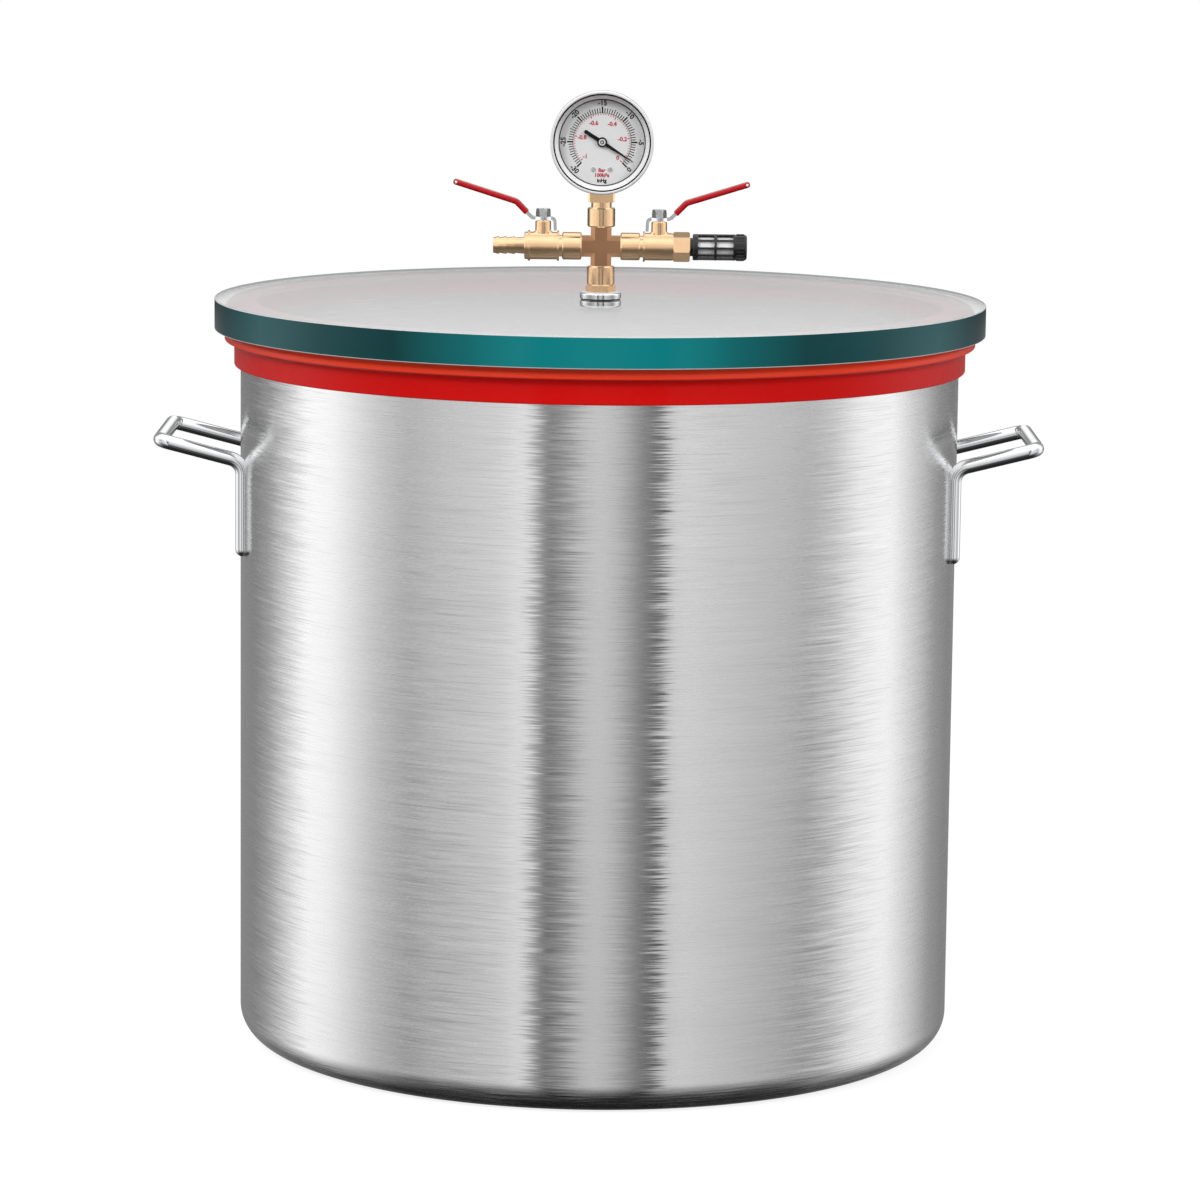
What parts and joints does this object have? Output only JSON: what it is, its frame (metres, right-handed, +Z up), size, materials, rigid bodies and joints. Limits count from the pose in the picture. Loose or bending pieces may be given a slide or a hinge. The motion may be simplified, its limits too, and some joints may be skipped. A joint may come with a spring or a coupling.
{
  "type": "vacuum chamber",
  "caption": "Cylindrical stainless steel vacuum chamber with a thick glass lid, red gasket, side handles, and a brass manifold with vacuum gauge, ball valves, hose barb and muffler.",
  "frame": {"origin": "centre of the pot's flat underside", "axes": "+Z up along the pot's axis; -Y is the front, which the gauge's dial faces; +X runs along the manifold to the muffler"},
  "size_m": [0.553, 0.4826, 0.5993],
  "materials": {
    "pot_steel": "brushed around the wall, satin",
    "handle_steel": "polished",
    "gasket_silicone": "smooth moulded red silicone",
    "lid_glass": "clear tempered, teal at the edge",
    "fitting_chrome": "plated",
    "black_rubber": "moulded",
    "brass": "machined and satin",
    "movement_brass": "stamped",
    "ball_chrome": "polished",
    "ptfe": "smooth",
    "lever_steel": "zinc plated, bright",
    "grip_vinyl": "dipped gloss",
    "gauge_steel": "polished",
    "gauge_glass": "clear",
    "dial_white": "matt white with printed scales",
    "pointer_black": "matt black",
    "muffler_black": "moulded, slight sheen",
    "muffler_felt": "porous white"
  },
  "bodies": {
    "chamber": {"bourdon_tube": "movement_brass", "bulkhead_body": "fitting_chrome", "bulkhead_lock_nut": "fitting_chrome", "bulkhead_nut": "fitting_chrome", "bulkhead_seal": "black_rubber", "cross_fitting": "brass", "dial_screws": "lever_steel", "gauge_bezel": "gauge_steel", "gauge_case": "gauge_steel", "gauge_dial": "dial_white", "gauge_lens": "gauge_glass", "gauge_socket": "brass", "handle_left": "handle_steel", "handle_right": "handle_steel", "hose_barb": "brass", "left_valve_body": "brass", "left_valve_packing": "ptfe", "left_valve_seats": "ptfe", "lens_seal": "black_rubber", "lid_gasket": "gasket_silicone", "lid_plate": "lid_glass", "movement_back_plate": "movement_brass", "movement_front_plate": "movement_brass", "movement_pillars": "movement_brass", "muffler_cage": "muffler_black", "muffler_cap": "muffler_black", "muffler_element": "muffler_felt", "pot_body": "pot_steel", "right_valve_body": "brass", "right_valve_packing": "ptfe", "right_valve_seats": "ptfe", "riser_nipple": "brass", "tube_tip": "movement_brass", "valve_end_hex": "brass"},
    "left_lever_set": {"left_valve_ball": "ball_chrome", "left_valve_stem": "brass", "left_valve_lever": "lever_steel", "left_valve_grip": "grip_vinyl", "left_valve_lever_nut": "lever_steel"},
    "right_lever_set": {"right_valve_ball": "ball_chrome", "right_valve_stem": "brass", "right_valve_lever": "lever_steel", "right_valve_grip": "grip_vinyl", "right_valve_lever_nut": "lever_steel"},
    "pointer_set": {"gauge_pointer": "pointer_black", "pointer_shaft": "lever_steel"},
    "sector_set": {"sector_gear": "movement_brass", "sector_arbor": "lever_steel"},
    "link_set": {"movement_link": "lever_steel"}
  },
  "joints": [
    {"name": "left_valve_turn", "type": "hinge", "parent": "chamber", "child": "left_lever_set", "pos_m": [-0.0363, 0, 0.5016], "axis": [0, 0, -1], "range_deg": [0, 90]},
    {"name": "right_valve_turn", "type": "hinge", "parent": "chamber", "child": "right_lever_set", "pos_m": [0.0363, 0, 0.5016], "axis": [0, 0, -1], "range_deg": [0, 90]},
    {"name": "gauge_pointer_turn", "type": "hinge", "parent": "chamber", "child": "pointer_set", "pos_m": [0, 0, 0.567], "axis": [0, -1, 0], "range_deg": [-13, 257]},
    {"name": "sector_turn", "type": "hinge", "parent": "chamber", "child": "sector_set", "pos_m": [0, 0, 0.556], "axis": [0, -1, 0], "range_deg": [-45.4, 2.3]},
    {"name": "link_turn", "type": "hinge", "parent": "sector_set", "child": "link_set", "pos_m": [0.0039, 0, 0.55825], "axis": [0, -1, 0], "range_deg": [-2.3, 45.4]}
  ],
  "couplings": [
    {"joint": "sector_turn", "follows": "gauge_pointer_turn", "ratio": -0.17647},
    {"joint": "link_turn", "follows": "gauge_pointer_turn", "ratio": 0.17647}
  ]
}
